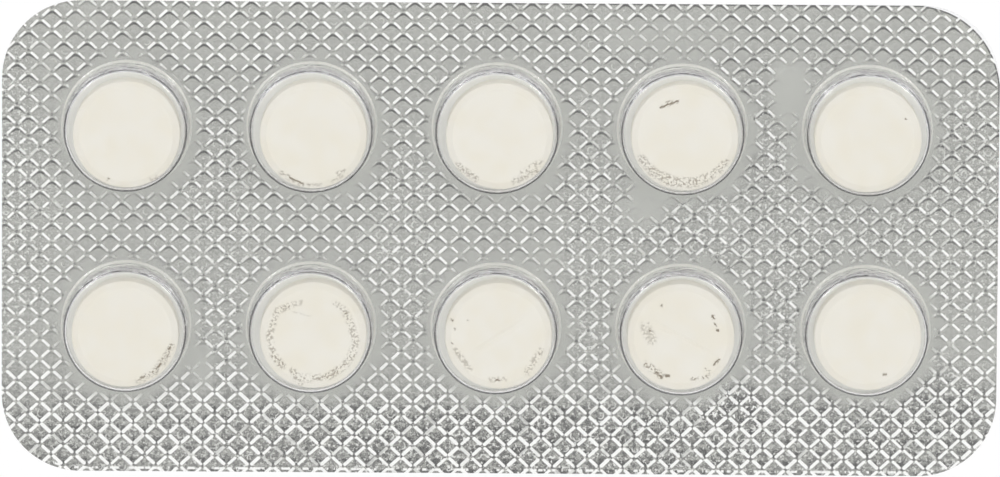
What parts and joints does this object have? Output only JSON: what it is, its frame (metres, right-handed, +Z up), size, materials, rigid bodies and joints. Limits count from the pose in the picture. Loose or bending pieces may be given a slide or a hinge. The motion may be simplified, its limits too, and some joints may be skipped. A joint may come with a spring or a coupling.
{
  "type": "pill blister pack",
  "caption": "Clear thermoformed blister film sealed to knurled aluminium lidding foil, with a round flat bevelled tablet in each pocket.",
  "frame": {"origin": "centre of the card's underside, on the surface that the foil lies on", "axes": "+X along the card's length, +Y towards the far row of pockets, +Z up out of the pockets"},
  "size_m": [0.084, 0.04, 0.0041],
  "materials": {
    "clear_film": "clear glossy thermoformed film",
    "aluminium_foil": "bright foil, diamond knurled where it is heat sealed",
    "tablet": "matt pressed powder, cream white with a few brown specks"
  },
  "bodies": {
    "root": {"blister_film": "clear_film", "lidding_foil": "aluminium_foil", "tablet_01": "tablet", "tablet_02": "tablet", "tablet_03": "tablet", "tablet_04": "tablet", "tablet_05": "tablet", "tablet_06": "tablet", "tablet_07": "tablet", "tablet_08": "tablet", "tablet_09": "tablet", "tablet_10": "tablet"}
  },
  "joints": []
}
